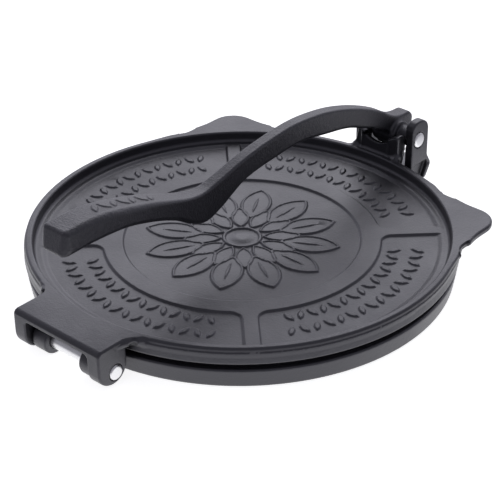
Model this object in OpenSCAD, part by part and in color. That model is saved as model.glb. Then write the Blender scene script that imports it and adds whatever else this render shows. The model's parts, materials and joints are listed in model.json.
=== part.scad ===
// Cast iron tortilla press, closed, with its lever laid down over the top plate.
// Origin: middle of the press's footprint at table level. +Y points from the hinge to the lever's pin.
// The sizes below are counted from the centre of the round plates, which lies mid_y behind the origin.

/* [Base plate] */
// Radius of the base plate where it stands on the table
base_r = 100; // [90:1:120]
// Height of the base plate's outer wall
base_h = 9.6; // [8:0.1:12]
// How far the outer walls of the plates lean out from bottom to top of the base
wall_draft = 1.5; // [0.5:0.1:2.5]
// Radius of the two flat pressing discs
press_r = 97; // [85:0.5:98]
// Height of the base's pressing disc above its outer wall
press_rise = 1; // [0.5:0.1:2]
// Depth of the hollow under the base
under_depth = 3.6; // [2:0.1:5]
// Width of the foot ring round the hollow
foot_w = 7; // [5:0.5:12]
// Radius of the stiffening ring under the base, at its middle
under_ring_r = 46; // [30:1:60]
// Thickness of the stiffening ring and ribs under the base
under_rib_t = 4; // [3:0.5:6]
// Number of ribs under the base
under_ribs = 8; // [4:1:12]

/* [Top plate] */
// Gap between the two pressing discs when the press is shut and empty
press_gap = 0.3; // [0.2:0.05:0.6]
// Height of the step from the pressing disc up to the underside of the rim
rim_step = 1.6; // [1:0.1:3]
// Radius of the top plate at the lower edge of its rim
top_r = 102.2; // [95:0.1:122]
// Height of the rim, from its lower edge to its top
rim_h = 8.1; // [6:0.1:12]
// Width of the rim's flat top
rim_w = 3.4; // [2.5:0.1:6]
// Thickness of the top plate at its sunk panels
panel_t = 3.6; // [3:0.1:6]
// Height of the raised ring, spokes and ledge above the panels
relief_h = 1; // [0.5:0.1:2]
// Width of the ledge inside the rim
ledge_w = 3; // [2:0.1:5]
// Width of the sloping edge between ledge and panel
slope_w = 3.4; // [1:0.1:6]
// Inner radius of the raised ring
ring_in_r = 56.2; // [40:0.1:60]
// Outer radius of the raised ring
ring_out_r = 65; // [61:0.1:75]
// Width of the four spokes
spoke_w = 7.2; // [4:0.1:12]
// Radius of the panels' rounded corners
panel_corner_r = 5; // [3:0.5:8]
// Radius of the raised flower in the middle
flower_r = 46; // [38:0.5:50]
// Number of its long petals
petals = 12; // [8:1:16]
// Width of a long petal
petal_w = 13.4; // [9:0.1:14]
// Height of the petals above the plate
petal_h = 0.45; // [0.3:0.05:0.8]
// Radius of the button in its centre
button_r = 8.8; // [6:0.1:11]

/* [Lifting wings] */
// Distance from the centre line to a wing's side edge
wing_x = 86.8; // [84:0.1:92]
// Distance from the hinge-to-lever cross line to a wing's front edge
wing_y = 87.4; // [82:0.1:90]
// Radius of a wing's corner
wing_corner_r = 12; // [8:0.5:16]
// Thickness of a wing
wing_t = 3.2; // [2.5:0.1:6]
// Radius of the fillets where a wing or the tab meets the rim
root_r = 10; // [6:0.5:16]

/* [Hinge] */
// Distance from the plate centre to the hinge pin
hinge_y = 108.4; // [106:0.1:112]
// Height of the hinge pin above the table
hinge_z = 6.8; // [6.6:0.1:8.5]
// Radius of the hinge pin
hinge_pin_r = 3.7; // [3:0.1:4.2]
// Radius of the base's lugs round the hinge pin
lug_r = 6.7; // [5.5:0.1:6.7]
// Distance from the middle to a lug's inner side
lug_in = 10; // [8:0.1:13]
// Thickness of a lug
lug_t = 8.6; // [4:0.1:10]
// Sideways gap between a lug and the cheek beside it
cheek_gap = 0.5; // [0.3:0.1:1]
// Thickness of a cheek of the top plate
cheek_t = 7.2; // [5:0.1:9]
// Radius of a cheek's rounded lower end
cheek_r = 8.2; // [7.8:0.1:9]
// How far the cheek's rounding sits outward of the hinge pin
cheek_out = 1.5; // [1:0.1:2]
// How far the cheek's rounding sits above the hinge pin
cheek_up = 2.6; // [2.2:0.1:3.2]
// Thickness of the tab that joins the cheeks to the rim
tab_t = 3.8; // [3.2:0.1:5]
// Rounding of the tab's upper outer edge
tab_round = 2.6; // [1:0.1:3]

/* [Bracket and ears] */
// Distance from the top plate's rim to the lever pin
pin_gap = 10.8; // [10.4:0.1:13]
// Height of the lever pin above the table
lever_z = 28.5; // [27:0.1:31]
// Radius of the lever pin
lever_pin_r = 4; // [3:0.1:4.4]
// Distance from the middle to an ear's inner side
ear_in = 14.4; // [13.8:0.1:18]
// Thickness of an ear
ear_t = 3.8; // [3:0.1:6]
// Width of an ear from front to back
ear_w = 13.4; // [12:0.1:15]
// How far an ear's middle sits behind the lever pin
ear_back = 1.1; // [0:0.1:1.5]
// Height of an ear's top above the lever pin
ear_top = 10.2; // [8.5:0.1:11]
// How much lower the top of the ear on the -X side is
ear_drop = 4.4; // [0:0.1:4.6]
// Radius of an ear's upper corner on the plates' side
ear_front_r = 4.6; // [2:0.1:5.5]
// Radius of an ear's upper corner on the outer side
ear_outer_r = 6.2; // [3:0.1:6.4]
// Height of the sloping foot behind an ear
ear_foot = 5.1; // [2:0.1:8]
// Height of the bracket's flat shelf above the table
shelf_z = 12.4; // [11:0.1:12.6]
// Distance from the middle to the shelf's side
shelf_x = 18.7; // [18.3:0.1:24]
// Distance from the lever pin to the shelf's outer edge
shelf_reach = 11.3; // [9:0.1:15]
// How far the shelf's outer face leans in towards its foot
shelf_lean = 4.6; // [0:0.1:8]
// Height of the foot of the shelf's outer face
shelf_foot = 5.1; // [3:0.1:8]
// Width of the bracket where it leaves the base plate, to one side
bracket_root = 33; // [26:0.5:45]
// Depth of the pocket in each side of the bracket
pocket_d = 1.8; // [0.8:0.1:2.4]
// Height of the pocket's top above the shelf
pocket_up = 2.4; // [1:0.1:3]
// Thickness of the bracket's outer edge behind the pockets
pocket_wall = 2.8; // [2.4:0.1:4]

/* [Strike saddle] */
// Distance from the middle to the saddle's side
saddle_x = 13.4; // [11:0.1:13.4]
// Distance from the middle to a horn's inner side
horn_in = 7.8; // [7.2:0.1:9]
// How far the saddle's front face sits inside the lower edge of the rim
saddle_inset = 1.6; // [0.6:0.1:2]
// Depth of a horn from front to back at its widest
horn_d = 7.2; // [5:0.1:7.4]
// Height of the horns above the rim
horn_h = 12; // [9:0.1:13]
// Thickness of the striking web between the horns
web_t = 3; // [2.5:0.1:3.6]
// Height of the lowest point of the web's round notch above the rim
web_h = 5; // [3:0.1:7]
// Radius of the round notch between the horns
notch_r = 12; // [10:0.5:16]

/* [Lever] */
// Distance from the lever pin to the end of the grip
lever_reach = 229.4; // [200:0.1:240]
// Height of the top of the grip above the table
grip_z = 69.8; // [64:0.1:76]
// Thickness of the grip
grip_t = 12; // [9:0.5:15]
// Width of the grip
grip_w = 17.6; // [14:0.2:22]
// Height of the lowest point of the lever's top between grip and arch
dip_z = 51.7; // [46:0.1:54]
// Depth of the lever at the dip
dip_t = 15.4; // [12:0.1:18]
// Height of the top of the arch above the table
arch_z = 61.8; // [58:0.1:66]
// Depth of the neck along the arch
neck_t = 11.8; // [9:0.1:13]
// Width of the neck
neck_w = 6.6; // [5:0.1:9]
// How much narrower the grip is at its top, as a share of its width
grip_taper = 0.12; // [0:0.01:0.2]
// Width of the lever over the pin and at the thumb nub
nub_w = 8.4; // [7:0.1:12]
// Width of the boss on the lever pin
boss_w = 14.4; // [10:0.1:15]
// Radius of the narrower sleeves that run from the boss to the ears
sleeve_r = 4.8; // [4.6:0.1:4.8]
// Radius of the boss round the lever pin
boss_r = 6.5; // [5.6:0.1:6.6]
// How far the thumb nub reaches behind the lever pin
nub_reach = 15.4; // [12:0.1:15.6]

/* [Pins] */
// How far each pin stands proud at both ends
pin_proud = 0.7; // [0.3:0.1:1.5]
// Chamfer on the pin ends
pin_chamfer = 0.6; // [0.2:0.1:1]
// Radial clearance where a part turns on a pin
run_gap = 0.05; // [0.02:0.01:0.1]
// Radial clearance where a pin is held
hold_gap = 0.01; // [0.01:0.01:0.03]

/* [Hidden] */

iron = [0.16, 0.16, 0.17];
steel = [0.8, 0.8, 0.82];
round_fn = 180;
small_fn = 64;
// Overlap that joins two solids of one casting
bite = 0.5;

// Heights of the stack, from the table up
base_top_r = base_r + wall_draft;
press_z = base_h + press_rise;
face_z = press_z + press_gap;
rim_low_z = face_z + rim_step;
rim_top_z = rim_low_z + rim_h;
panel_z = face_z + panel_t;
relief_z = panel_z + relief_h;

// Radii of the top plate
edge_round = 1;
rim_draft = 0.9;
rim_top_r = top_r - rim_draft;
rim_in_r = rim_top_r - rim_w;
wall_in_r = rim_in_r - 0.5;
ledge_in_r = wall_in_r - ledge_w;
panel_out_r = ledge_in_r - slope_w;
// The wings and the tab run this far in under the rim's top
join_r = rim_top_r - 2.2;

// Hinge
cheek_in = lug_in + lug_t + cheek_gap;
cheek_x = cheek_in + cheek_t;
cheek_mid_y = hinge_y + cheek_out;
cheek_mid_z = hinge_z + cheek_up;
tab_y = cheek_mid_y + cheek_r;
lug_top_z = rim_low_z - 1.1;
lug_root_y = base_r - foot_w;
// The lug's high part stays this far out, clear of the top plate's pressing disc
lug_step_y = press_r + 1.8;

// Bracket
swing_gap = 1;
well_r = top_r + swing_gap;
lever_y = top_r + pin_gap;
ear_front_y = lever_y + ear_back - ear_w / 2;
ear_outer_y = ear_front_y + ear_w;
ear_out = ear_in + ear_t;
ear_top_z = lever_z + ear_top;
shelf_y = lever_y + shelf_reach;
side_gap = 0.3;

// The plates' centre lies this far from the middle of the footprint
mid_y = (max(shelf_y, lever_y + nub_reach) - tab_y) / 2;

// Saddle
saddle_y = top_r - saddle_inset;
saddle_low_z = shelf_z + 0.8;
horn_top_z = rim_top_z + horn_h;
horn_round = 5;
horn_back_y = saddle_y + horn_d;
horn_foot_back = 2.4;

// A point on a circle in the plane
function polar(r, a) = [r * cos(a), r * sin(a)];

// Point at share s of a smooth curve through rows b and c, with neighbours a and d
function smooth(a, b, c, d, s) =
    0.5 * (2 * b + (c - a) * s + (2 * a - 5 * b + 4 * c - d) * s * s + (3 * b - a - 3 * c + d) * s * s * s);

// Moves a piece from the plates' centre to the footprint's middle
module placed() {
    translate([0, -mid_y, 0]) children();
}

// Slab cut to an outline in the Y-Z plane, from x0 to x1
module across(x0, x1) {
    translate([x0, 0, 0])
        rotate([90, 0, 90])
            linear_extrude(x1 - x0) children();
}

// The same piece on both sides of the middle
module both_sides() {
    children();
    mirror([1, 0, 0]) children();
}

// Hole or rod along X at (y, z), from x0 to x1
module rod(y, z, r, x0, x1) {
    translate([x0, y, z])
        rotate([0, 90, 0])
            cylinder(r = r, h = x1 - x0, $fn = small_fn);
}

// Fill between a corner and a rounding circle that touches the two edges leaving it
module rounding(corner, touch_a, centre, touch_b, r) {
    difference() {
        polygon([corner, touch_a, centre, touch_b]);
        translate(centre) circle(r, $fn = small_fn);
    }
}

// Concave fillet between the rim's wall and an edge at x = edge_x that runs up from it.
// It starts a little inside the wall, so that it always meets it.
module rim_fillet(edge_x, r) {
    disc_r = rim_top_r - 1.5;
    cx = edge_x + r;
    cy = sqrt(pow(disc_r + r, 2) - cx * cx);
    rounding([edge_x, sqrt(disc_r * disc_r - edge_x * edge_x)] * 0.97, [edge_x, cy], [cx, cy],
             [cx, cy] * disc_r / (disc_r + r), r);
}

// Base plate: drafted outer wall, raised pressing disc and a hollow underside with ring and ribs
module base_disc() {
    rotate_extrude($fn = round_fn)
        polygon([
            [0, under_depth],
            [base_r - foot_w - 1, under_depth],
            [base_r - foot_w, 0],
            [base_r - edge_round, 0],
            [base_r, edge_round],
            [base_top_r, base_h - edge_round],
            [base_top_r - edge_round, base_h],
            [press_r + press_rise, base_h],
            [press_r, press_z],
            [0, press_z]
        ]);
    difference() {
        translate([0, 0, 0.6])
            cylinder(r = under_ring_r + under_rib_t / 2, h = under_depth, $fn = round_fn);
        translate([0, 0, -1])
            cylinder(r = under_ring_r - under_rib_t / 2, h = under_depth + 1.2, $fn = round_fn);
    }
    for (i = [0 : under_ribs - 1])
        rotate([0, 0, 360 * (i + 0.5) / under_ribs])
            translate([under_ring_r, -under_rib_t / 2, 0.6])
                cube([base_r - foot_w - under_ring_r + bite, under_rib_t, under_depth]);
}

// One hinge lug of the base: a round nose on a short arm
module base_lug() {
    across(lug_in, lug_in + lug_t) {
        translate([-hinge_y, hinge_z]) circle(lug_r, $fn = small_fn);
        polygon([
            [-hinge_y, hinge_z - lug_r],
            [-lug_root_y, hinge_z - lug_r],
            [-lug_root_y, base_h - bite],
            [-lug_step_y, base_h - bite],
            [-lug_step_y, lug_top_z],
            [-hinge_y, lug_top_z]
        ]);
    }
}

// Plan of the bracket: it flares from the shelf's width to its root on the base plate
module bracket_plan() {
    corner = 2.5;
    flare_y = well_r + 4;
    polygon([
        [-bracket_root, base_r - 14],
        [-shelf_x, flare_y],
        [-shelf_x, shelf_y - corner],
        [-shelf_x + corner, shelf_y],
        [shelf_x - corner, shelf_y],
        [shelf_x, shelf_y - corner],
        [shelf_x, flare_y],
        [bracket_root, base_r - 14]
    ]);
    both_sides()
        translate([shelf_x - corner, shelf_y - corner]) circle(corner, $fn = small_fn);
}

// Side outline of the bracket, from under the base plate out to the shelf's edge
module bracket_side() {
    inner_y = base_r - 14;
    polygon([
        [inner_y, under_depth],
        [base_r - 2, 1.2],
        [shelf_y - shelf_lean, shelf_foot],
        [shelf_y, shelf_z],
        [inner_y, shelf_z]
    ]);
}

// One ear of the bracket, with round upper corners and a sloping foot behind it
module ear(top_z) {
    low_z = shelf_z - bite;
    across(ear_in, ear_out) {
        translate([ear_front_y + ear_front_r, top_z - ear_front_r]) circle(ear_front_r, $fn = small_fn);
        translate([ear_outer_y - ear_outer_r, top_z - ear_outer_r]) circle(ear_outer_r, $fn = small_fn);
        polygon([
            [ear_front_y, low_z],
            [shelf_y - side_gap, low_z],
            [shelf_y - side_gap, shelf_z],
            [ear_outer_y, shelf_z + ear_foot],
            [ear_outer_y, top_z - ear_outer_r],
            [ear_outer_y - ear_outer_r, top_z - ear_outer_r],
            [ear_outer_y - ear_outer_r, top_z],
            [ear_front_y + ear_front_r, top_z],
            [ear_front_y + ear_front_r, top_z - ear_front_r],
            [ear_front_y, top_z - ear_front_r]
        ]);
    }
}

// Pocket in one side of the bracket, under the ear
module side_pocket() {
    across(ear_out - pocket_d, bracket_root)
        polygon([
            [ear_front_y + pocket_wall / 2, -1],
            [shelf_y - shelf_lean - pocket_wall, -1],
            [shelf_y - shelf_lean - pocket_wall, shelf_foot],
            [shelf_y - pocket_wall, shelf_z + pocket_up],
            [ear_front_y + pocket_wall / 2, shelf_z + pocket_up]
        ]);
}

module base_plate() {
    color(iron)
    placed()
    difference() {
        union() {
            base_disc();
            both_sides() base_lug();
            difference() {
                union() {
                    intersection() {
                        linear_extrude(shelf_z) bracket_plan();
                        across(-bracket_root, bracket_root) bracket_side();
                    }
                    ear(ear_top_z);
                    mirror([1, 0, 0]) ear(ear_top_z - ear_drop);
                }
                translate([0, 0, base_h - edge_round])
                    cylinder(r = well_r, h = lever_z + ear_top, $fn = round_fn);
                both_sides() side_pocket();
            }
        }
        rod(-hinge_y, hinge_z, hinge_pin_r + run_gap, -cheek_x, cheek_x);
        rod(lever_y, lever_z, lever_pin_r + hold_gap, -shelf_x, shelf_x);
    }
}

// Round body of the top plate, turned in one profile
module top_disc() {
    rotate_extrude($fn = round_fn)
        polygon([
            [0, face_z],
            [press_r - 0.5, face_z],
            [press_r, face_z + 0.5],
            [press_r + 0.3, rim_low_z],
            [top_r - 0.4, rim_low_z],
            [top_r, rim_low_z + 0.4],
            [rim_top_r, rim_top_z - edge_round],
            [rim_top_r - 0.3 * edge_round, rim_top_z - 0.3 * edge_round],
            [rim_top_r - edge_round, rim_top_z],
            [rim_in_r + 0.4, rim_top_z],
            [rim_in_r, rim_top_z - 0.4],
            [wall_in_r, relief_z],
            [ring_in_r, relief_z],
            [ring_in_r - 0.8, panel_z],
            [0, panel_z]
        ]);
}

// Plan of one sunk panel: the quarter between two spokes, with rounded corners
module panel_plan() {
    in_r = ring_out_r - 1;
    out_r = ledge_in_r + 1;
    side = spoke_w / 2;
    reach = side + panel_corner_r;
    in_x = sqrt(pow(in_r + panel_corner_r, 2) - reach * reach);
    out_x = sqrt(pow(out_r - panel_corner_r, 2) - reach * reach);
    wedge = 1.2 * out_r;
    apex = spoke_w / sqrt(2);
    difference() {
        intersection() {
            circle(out_r, $fn = round_fn);
            polygon([[apex, 0], [wedge, wedge - apex], [wedge, apex - wedge]]);
        }
        circle(in_r, $fn = round_fn);
        for (m = [0, 1])
            mirror([0, m])
                rotate(45) {
                    rounding([in_r - 1, 0.5 - side], [in_x, -side], [in_x, -reach],
                             [in_x, -reach] * in_r / (in_r + panel_corner_r), panel_corner_r);
                    rounding([out_r + 1, 0.5 - side], [out_x, -side], [out_x, -reach],
                             [out_x, -reach] * out_r / (out_r - panel_corner_r), panel_corner_r);
                }
    }
}

// One sunk panel, its inner edge steep and its outer edge sloping up to the ledge
module panel_pocket() {
    intersection() {
        rotate_extrude($fn = round_fn)
            polygon([
                [ring_out_r, relief_z + 1],
                [ring_out_r, relief_z],
                [ring_out_r + 0.8, panel_z],
                [panel_out_r, panel_z],
                [ledge_in_r, relief_z],
                [ledge_in_r, relief_z + 1]
            ]);
        translate([0, 0, panel_z - 1])
            linear_extrude(relief_h + 3) panel_plan();
    }
}

// Plan of one lifting wing: a rounded corner outside the rim, with fillets into it
module wing_plan() {
    difference() {
        union() {
            square([wing_x - wing_corner_r, wing_y]);
            square([wing_x, wing_y - wing_corner_r]);
            translate([wing_x - wing_corner_r, wing_y - wing_corner_r])
                circle(wing_corner_r, $fn = small_fn);
            rim_fillet(wing_x, root_r);
            mirror([1, -1]) rim_fillet(wing_y, root_r);
        }
        circle(join_r, $fn = round_fn);
        square([rim_top_r, wing_x - wing_corner_r - 40]);
        square([wing_x - wing_corner_r - 40, rim_top_r]);
    }
}

// Plan of the hinge tab, with fillets into the rim
module tab_plan() {
    difference() {
        union() {
            translate([-cheek_x, -tab_y]) square([2 * cheek_x, tab_y - join_r + 12]);
            both_sides() mirror([0, 1]) rim_fillet(cheek_x, root_r);
        }
        circle(join_r, $fn = round_fn);
    }
}

// One cheek of the top plate, hanging from the tab beside a lug
module cheek() {
    across(cheek_in, cheek_x) {
        translate([-cheek_mid_y, cheek_mid_z]) circle(cheek_r, $fn = small_fn);
        translate([-tab_y, cheek_mid_z]) square([2 * cheek_r, rim_top_z - tab_round - cheek_mid_z]);
    }
}

// Tab slab with a softened upper outer edge
module tab() {
    intersection() {
        translate([0, 0, rim_top_z - tab_t]) linear_extrude(tab_t) tab_plan();
        across(-cheek_x - 2 * root_r, cheek_x + 2 * root_r)
            polygon([
                [-tab_y, 0],
                for (a = [0 : 30 : 90])
                    [-tab_y + tab_round * (1 - cos(a)), rim_top_z - tab_round * (1 - sin(a))],
                [0, rim_top_z],
                [0, 0]
            ]);
    }
}

// Saddle at the front of the rim: the lever drops between two horns, over a web with a round notch
module saddle() {
    notch_z = rim_top_z + web_h + notch_r;
    difference() {
        union() {
            both_sides()
                across(horn_in - bite, saddle_x) {
                    polygon([
                        [saddle_y, saddle_low_z],
                        [horn_back_y - horn_foot_back, saddle_low_z],
                        [horn_back_y, horn_top_z - horn_round],
                        [horn_back_y - horn_round, horn_top_z],
                        [saddle_y + 1, horn_top_z],
                        [saddle_y, horn_top_z - 1]
                    ]);
                    translate([horn_back_y - horn_round, horn_top_z - horn_round])
                        circle(horn_round, $fn = small_fn);
                }
            translate([-horn_in, saddle_y, saddle_low_z])
                cube([2 * horn_in, web_t, rim_top_z + web_h + 3.6 - saddle_low_z]);
            translate([-saddle_x, wall_in_r - 4, saddle_low_z])
                cube([2 * saddle_x, saddle_y - wall_in_r + 4 + web_t, rim_top_z - saddle_low_z]);
        }
        translate([0, 0, panel_z])
            cylinder(r = rim_in_r + 0.6, h = horn_h + rim_h, $fn = round_fn);
        translate([0, saddle_y - 1, notch_z])
            rotate([-90, 0, 0])
                cylinder(r = notch_r, h = horn_d + 3, $fn = small_fn);
        translate([-horn_in, saddle_y + web_t, rim_top_z])
            cube([2 * horn_in, horn_d, horn_h + 1]);
    }
}

// Plan of one petal along +X, pointed at both ends, from r0 to r1
module petal(r0, r1, w) {
    half = (r1 - r0) / 2;
    bow = (half * half - w * w / 4) / w;
    translate([r0 + half, 0])
        intersection() {
            translate([0, -bow]) circle(bow + w / 2, $fn = round_fn);
            translate([0, bow]) circle(bow + w / 2, $fn = round_fn);
        }
}

// Raised flower in the middle of the top plate: a ring of long petals, a ring of short ones and a button
module flower() {
    sink = 0.6;
    translate([0, 0, panel_z - sink]) {
        for (i = [0 : petals - 1])
            rotate([0, 0, 360 * i / petals])
                linear_extrude(sink + petal_h) petal(button_r + 8, flower_r, petal_w);
        for (i = [0 : petals - 1])
            rotate([0, 0, 360 * (i + 0.5) / petals])
                linear_extrude(sink + petal_h + 0.2) petal(button_r + 0.5, flower_r / 2 + 4, petal_w / 2 + 0.9);
        cylinder(r = button_r, h = sink + petal_h + 0.35, $fn = round_fn);
    }
}

module top_plate() {
    color(iron)
    placed()
    difference() {
        union() {
            difference() {
                top_disc();
                for (i = [0 : 3])
                    rotate([0, 0, 90 * i]) panel_pocket();
            }
            both_sides()
                translate([0, 0, rim_top_z - wing_t]) linear_extrude(wing_t) wing_plan();
            tab();
            both_sides() cheek();
            saddle();
            flower();
        }
        rod(-hinge_y, hinge_z, hinge_pin_r + hold_gap, -cheek_x - 1, cheek_x + 1);
    }
}

// Rows along the lever: distance before the pin, height of the top, height of the underside, width.
// The distance runs from the end of the grip, where it is the reach, to the nub, where it is below zero.
grip_low = grip_z - grip_t;
neck_end = lever_z + 16;
lever_rows = [
    [lever_reach, grip_low + 2.6, grip_low + 1.2, grip_w - 4],
    [lever_reach - 0.6, grip_z - 5.4, grip_low + 0.6, grip_w - 2.4],
    [lever_reach - 2.4, grip_z - 1, grip_low + 0.4, grip_w - 0.8],
    [lever_reach - 6, grip_z, grip_low + 0.4, grip_w],
    [0.935 * lever_reach, grip_z + 0.1, grip_low + 0.6, grip_w],
    [0.885 * lever_reach, grip_z - 0.8, grip_low + 0.2, grip_w],
    [0.83 * lever_reach, grip_z - 3.6, grip_low - 1.4, grip_w - 0.6],
    [0.76 * lever_reach, (grip_z + dip_z) / 2 + 0.9, grip_low - 6.2, grip_w - 3],
    [0.7 * lever_reach, dip_z + 5, dip_z - dip_t + 9.4, grip_w - 6],
    [0.655 * lever_reach, dip_z + 1.6, dip_z - dip_t + 4, neck_w + 3],
    [0.61 * lever_reach, dip_z + 0.2, dip_z - dip_t, neck_w + 0.8],
    [0.562 * lever_reach, dip_z + 2.4, dip_z - dip_t + 3.6, neck_w + 0.2],
    [0.49 * lever_reach, dip_z + 6.4, arch_z - neck_t - 3.8, neck_w],
    [0.395 * lever_reach, arch_z - 0.6, arch_z - neck_t - 0.7, neck_w],
    [0.32 * lever_reach, arch_z, arch_z - neck_t + 0.2, neck_w + 0.2],
    [0.236 * lever_reach, arch_z - 2.3, arch_z - neck_t - 2.8, neck_w + 0.4],
    [0.166 * lever_reach, arch_z - 6.5, arch_z - neck_t - 5.8, neck_w + 0.8],
    [0.105 * lever_reach, neck_end + 5.6, neck_end - 5.6, nub_w - 0.6],
    [12.5, neck_end + 0.1, lever_z + 5.8, nub_w],
    [6, neck_end - 4, lever_z + 1.6, nub_w],
    [0, neck_end - 6.9, lever_z - 2, nub_w],
    [-5.4, neck_end - 8, lever_z - 3.2, nub_w],
    [-10.2, neck_end - 8.3, lever_z - 3, nub_w],
    [1.6 - nub_reach, neck_end - 10.6, lever_z - 1, nub_w - 0.6],
    [0.3 - nub_reach, neck_end - 12.6, lever_z + 0.8, nub_w - 1.8],
    [-nub_reach, neck_end - 13.6, lever_z + 1.8, nub_w - 3]
];
// The grip's narrowed top starts at this distance from the pin
dip_reach = 0.61 * lever_reach;
row_steps = 3;
row_count = len(lever_rows);
lever_curve = [
    for (i = [0 : row_count - 2])
        let (a = lever_rows[max(i - 1, 0)], b = lever_rows[i], c = lever_rows[i + 1],
             d = lever_rows[min(i + 2, row_count - 1)])
        for (k = [0 : row_steps - 1]) smooth(a, b, c, d, k / row_steps),
    lever_rows[row_count - 1]
];

// Rounded section of the lever, as [x, z] points. The grip is narrower at its top than at its underside.
corner_steps = 3;
function taper(row, z) = row[0] < dip_reach ? 1 : 1 - grip_taper * (z - row[2]) / (row[1] - row[2]);
function section(row) =
    let (w = row[3] / 2, top = row[1], low = row[2], r = min(0.34 * w, 0.34 * (top - low)))
    [
        for (q = [0 : 3])
            let (sx = (q == 0 || q == 3) ? 1 : -1, sz = q < 2 ? 1 : -1)
            for (k = [0 : corner_steps])
                let (a = 90 * q + 90 * k / corner_steps, z = (sz > 0 ? top - r : low + r) + r * sin(a))
                [(sx * (w - r) + r * cos(a)) * taper(row, z), z]
    ];

// Solid swept through the rows, one ring of points for each
module lever_sweep() {
    ring_n = 4 * (corner_steps + 1);
    rings = [for (row = lever_curve) [for (p = section(row)) [p[0], lever_y - row[0], p[1]]]];
    last = len(rings) - 1;
    polyhedron(
        points = [for (ring = rings) each ring],
        faces = concat(
            [[for (j = [ring_n - 1 : -1 : 0]) j]],
            [for (i = [0 : last - 1]) for (j = [0 : ring_n - 1])
                let (n = (j + 1) % ring_n, a = i * ring_n)
                each [[a + j, a + ring_n + n, a + ring_n + j], [a + j, a + n, a + ring_n + n]]],
            [[for (j = [0 : ring_n - 1]) last * ring_n + j]]
        )
    );
}

module lever() {
    color(iron)
    placed()
    difference() {
        union() {
            lever_sweep();
            rod(lever_y, lever_z, boss_r, -boss_w / 2, boss_w / 2);
            rod(lever_y, lever_z, sleeve_r, side_gap - ear_in, ear_in - side_gap);
        }
        rod(lever_y, lever_z, lever_pin_r + run_gap, -boss_w, boss_w);
    }
}

// Plain steel pin along X with chamfered ends
module steel_pin(y, z, r, half) {
    translate([0, y, z])
        rotate([0, 90, 0])
            rotate_extrude($fn = small_fn)
                polygon([
                    [0, -half],
                    [r - pin_chamfer, -half],
                    [r, -half + pin_chamfer],
                    [r, half - pin_chamfer],
                    [r - pin_chamfer, half],
                    [0, half]
                ]);
}

module hinge_pin() {
    color(steel) placed() steel_pin(-hinge_y, hinge_z, hinge_pin_r, cheek_x + pin_proud);
}

module lever_pin() {
    color(steel) placed() steel_pin(lever_y, lever_z, lever_pin_r, ear_out + pin_proud);
}

base_plate();
top_plate();
lever();
hinge_pin();
lever_pin();
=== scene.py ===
# Cast iron tortilla press, shut, with its lever laid over the top plate.
# Each casting starts as a remesh of its CAD solid. Its points are then drawn onto a smooth
# shape with cast fillets, rounded edges and raised marks, given here as a distance function.
# Shapes are counted in millimetres from the centre of the round plates at table level.
import json
import math

import bpy
import numpy as np
from mathutils import Matrix, Vector


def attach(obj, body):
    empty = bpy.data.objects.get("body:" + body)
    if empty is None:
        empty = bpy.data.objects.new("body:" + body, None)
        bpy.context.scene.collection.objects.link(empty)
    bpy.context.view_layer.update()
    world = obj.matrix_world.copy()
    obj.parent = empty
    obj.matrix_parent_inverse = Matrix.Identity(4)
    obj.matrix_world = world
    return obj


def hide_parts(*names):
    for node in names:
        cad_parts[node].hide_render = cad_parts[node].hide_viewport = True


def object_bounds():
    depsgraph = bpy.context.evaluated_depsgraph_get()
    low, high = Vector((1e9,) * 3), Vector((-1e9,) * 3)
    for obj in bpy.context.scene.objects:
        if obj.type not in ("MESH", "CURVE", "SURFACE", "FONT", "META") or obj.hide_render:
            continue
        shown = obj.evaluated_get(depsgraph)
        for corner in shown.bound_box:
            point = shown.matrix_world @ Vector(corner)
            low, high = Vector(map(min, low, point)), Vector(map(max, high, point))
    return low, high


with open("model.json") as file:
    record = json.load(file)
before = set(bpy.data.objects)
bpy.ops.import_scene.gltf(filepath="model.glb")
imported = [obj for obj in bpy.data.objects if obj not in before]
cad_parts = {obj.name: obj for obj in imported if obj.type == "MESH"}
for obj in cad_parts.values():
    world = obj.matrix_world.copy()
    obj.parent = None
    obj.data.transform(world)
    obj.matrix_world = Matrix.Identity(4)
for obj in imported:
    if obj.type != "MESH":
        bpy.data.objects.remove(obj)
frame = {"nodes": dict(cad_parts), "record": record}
cad_low, cad_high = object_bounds()
scene = bpy.context.scene

MM = 0.001

# Sizes in millimetres, as in the CAD model where it has them.
# Base plate: outer wall, pressing disc, and the hollow underside with its ring and ribs
BASE_R, BASE_H, BASE_TOP_R = 100.0, 9.6, 101.5
PRESS_R, PRESS_Z = 97.0, 10.6
UNDER_Z, FOOT_W, RING_R = 3.6, 7.0, 46.0
RIBS, RIB_T, RIB_MID_Z, RIB_HALF_H = 8, 4.0, 3.0, 2.4
# Top plate: pressing face, rim and tray
FACE_Z, RIM_LOW_Z, RIM_TOP_Z = 10.9, 12.5, 20.6
TOP_R, RIM_TOP_R, RIM_IN_R, WALL_IN_R = 102.2, 101.3, 97.9, 97.4
PANEL_Z, RELIEF_Z, PANEL_CORNER = 14.5, 15.5, 5.0
CENTRE_R, RING_OUT_R, LEDGE_IN_R, SLOPE_W, SPOKE_W = 56.2, 65.0, 94.4, 3.4, 7.2
# Soft steps down from the ring and spokes: their width, and their distance off the ring
STEP_W, STEP_OUT = 1.3, 0.4
# Wings, with the fillet where they and the tab leave the rim, and the rounding of edges
WING_X, WING_Y, WING_IN_Y, WING_CORNER, WING_T, ROOT_R = 86.8, 87.4, -30, 12.0, 3.2, 10.0
SLAB_EDGE = 1.1
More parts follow.
